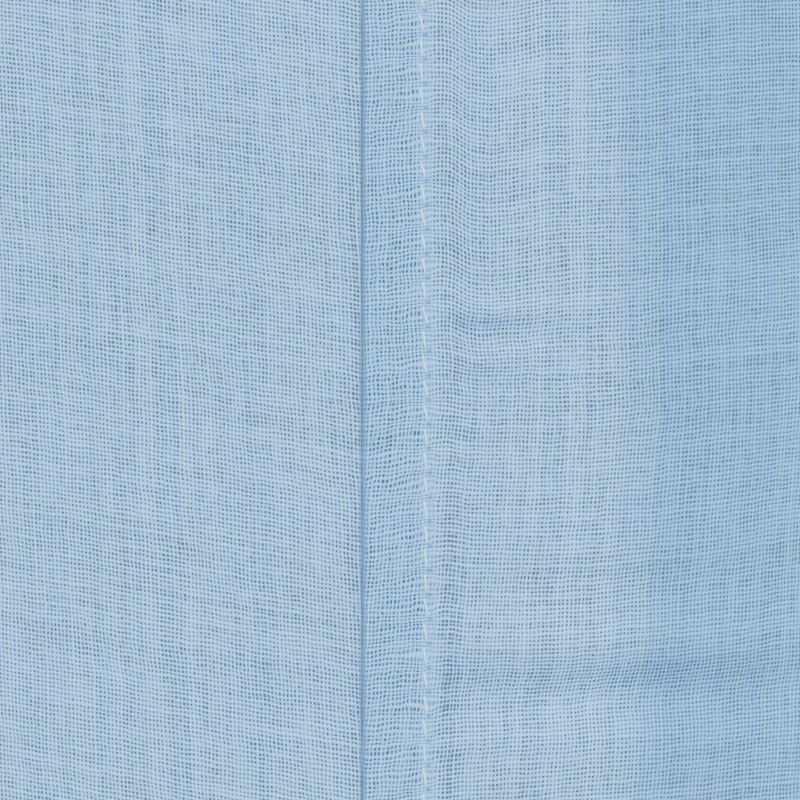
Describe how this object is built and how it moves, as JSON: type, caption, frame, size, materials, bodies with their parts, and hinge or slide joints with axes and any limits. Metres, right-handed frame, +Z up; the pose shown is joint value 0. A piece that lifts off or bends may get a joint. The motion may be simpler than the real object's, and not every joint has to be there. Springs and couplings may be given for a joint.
{
  "type": "patient gown",
  "caption": "Open-backed patient gown of pale blue plain-weave cotton with short sleeves, a bound round neck, felled and topstitched side seams, and fabric ties at the neck and waist.",
  "frame": {"origin": "midway between the two points where the shoulder seams meet the finished neckline, where the wearer's neck passes through and the gown hangs from", "axes": "+Z up, -Y the front of the gown, +X the wearer's left"},
  "size_m": [0.7846, 0.4506, 1.0807],
  "materials": {
    "gown_cloth": "pale sky-blue open plain-weave cotton, matt, worn soft",
    "binding_cloth": "the same cotton folded double, so a little denser and bluer",
    "thread": "very pale blue sewing thread with a slight sheen",
    "label": "plain white woven tape, blank"
  },
  "bodies": {
    "gown_body": {"front_panel": "gown_cloth", "front_hem_thread": "thread", "neck_binding": "binding_cloth", "neck_binding_thread": "thread", "back_yoke_left": "gown_cloth", "back_yoke_right": "gown_cloth", "shoulder_seam_left": "gown_cloth", "shoulder_seam_right": "gown_cloth", "shoulder_topstitch_left": "thread", "shoulder_topstitch_right": "thread", "size_label": "label"},
    "left_sleeve": {"sleeve_left": "gown_cloth", "armhole_seam_left": "gown_cloth", "armhole_topstitch_left": "thread", "cuff_thread_left": "thread"},
    "left_back_flap": {"back_skirt_left": "gown_cloth", "side_seam_left": "gown_cloth", "side_topstitch_left": "thread", "back_edge_thread_left": "thread", "back_hem_thread_left": "thread"},
    "left_neck_tie": {"neck_tie_left": "binding_cloth", "neck_tie_tack_left": "thread"},
    "left_waist_tie": {"waist_tie_left": "binding_cloth", "waist_tie_tack_left": "thread"},
    "right_sleeve": {"sleeve_right": "gown_cloth", "armhole_seam_right": "gown_cloth", "armhole_topstitch_right": "thread", "cuff_thread_right": "thread"},
    "right_back_flap": {"back_skirt_right": "gown_cloth", "side_seam_right": "gown_cloth", "side_topstitch_right": "thread", "back_edge_thread_right": "thread", "back_hem_thread_right": "thread"},
    "right_neck_tie": {"neck_tie_right": "binding_cloth", "neck_tie_tack_right": "thread"},
    "right_waist_tie": {"waist_tie_right": "binding_cloth", "waist_tie_tack_right": "thread"}
  },
  "joints": [
    {"name": "left_sleeve_lift", "type": "hinge", "parent": "gown_body", "child": "left_sleeve", "pos_m": [0.2274, 0, -0.05], "axis": [0, -1, 0], "range_deg": [0, 45]},
    {"name": "left_back_open", "type": "hinge", "parent": "gown_body", "child": "left_back_flap", "pos_m": [0.26616, 0.0005, -0.335], "axis": [0.092, 0, -0.9958], "range_deg": [0, 35]},
    {"name": "left_neck_tie_swing", "type": "hinge", "parent": "gown_body", "child": "left_neck_tie", "pos_m": [0.032, 0.0395, -0.0458], "axis": [1, 0, 0], "range_deg": [0, 90]},
    {"name": "left_waist_tie_swing", "type": "hinge", "parent": "left_back_flap", "child": "left_waist_tie", "pos_m": [0.044, 0.144, -0.4698], "axis": [1, 0, 0], "range_deg": [0, 90]},
    {"name": "right_sleeve_lift", "type": "hinge", "parent": "gown_body", "child": "right_sleeve", "pos_m": [-0.2274, 0, -0.05], "axis": [0, 1, 0], "range_deg": [0, 45]},
    {"name": "right_back_open", "type": "hinge", "parent": "gown_body", "child": "right_back_flap", "pos_m": [-0.26616, 0.0005, -0.335], "axis": [0.092, 0, 0.9958], "range_deg": [0, 35]},
    {"name": "right_neck_tie_swing", "type": "hinge", "parent": "gown_body", "child": "right_neck_tie", "pos_m": [-0.032, 0.0395, -0.0458], "axis": [1, 0, 0], "range_deg": [0, 90]},
    {"name": "right_waist_tie_swing", "type": "hinge", "parent": "right_back_flap", "child": "right_waist_tie", "pos_m": [-0.044, 0.144, -0.4698], "axis": [1, 0, 0], "range_deg": [0, 90]}
  ]
}
